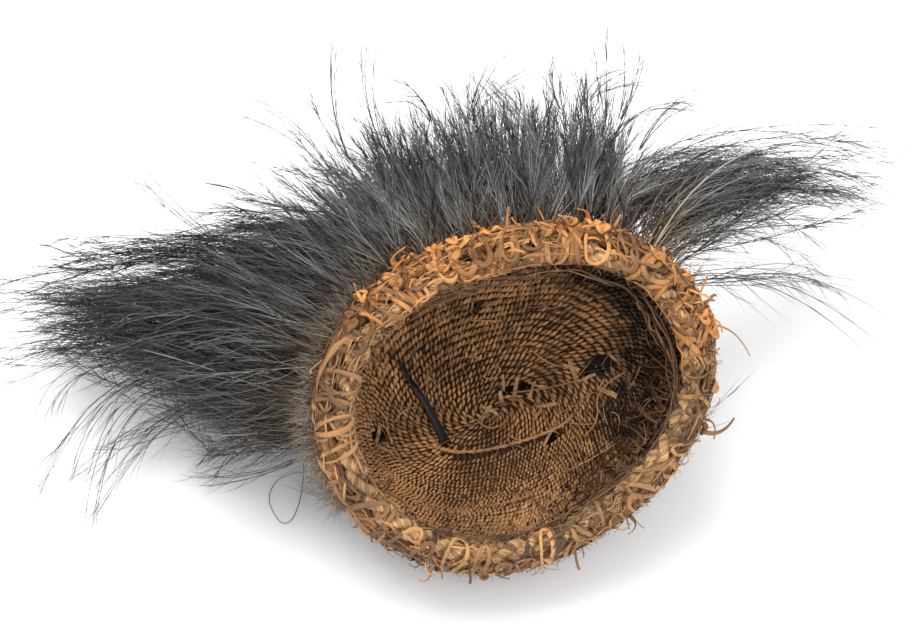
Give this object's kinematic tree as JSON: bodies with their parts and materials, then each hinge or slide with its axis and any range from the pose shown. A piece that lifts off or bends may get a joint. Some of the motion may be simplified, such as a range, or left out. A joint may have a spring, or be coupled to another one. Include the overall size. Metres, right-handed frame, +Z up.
{
  "type": "feathered headdress",
  "caption": "Looped cord cap with a bound vine rim, covered outside in dark hair-like feathers, lying on its crown with the head opening turned up and forwards.",
  "frame": {"origin": "middle of the footprint of the bounding box, on the surface that the headdress lies on", "axes": "+Z up, the head opening faces -Y and up, +X to the right along the longest extent"},
  "size_m": [0.517, 0.2552, 0.1883],
  "materials": {
    "cord": "matte twisted bark cord",
    "vine": "dull split vine, orange-brown",
    "cloth": "matte looped cord, brown, with dark stains",
    "feather": "hair-like black feathers with a soft sheen",
    "quill": "black horn quill, satin"
  },
  "bodies": {
    "root": {"cap_shell": "cloth", "rim_cord": "cord", "rim_roll": "vine", "rim_binding": "vine", "broken_quill": "quill", "plume_right": "feather", "feathers_left": "feather", "feathers_upper_left": "feather", "feathers_top": "feather", "feathers_back": "feather", "feathers_under": "feather"}
  },
  "joints": []
}
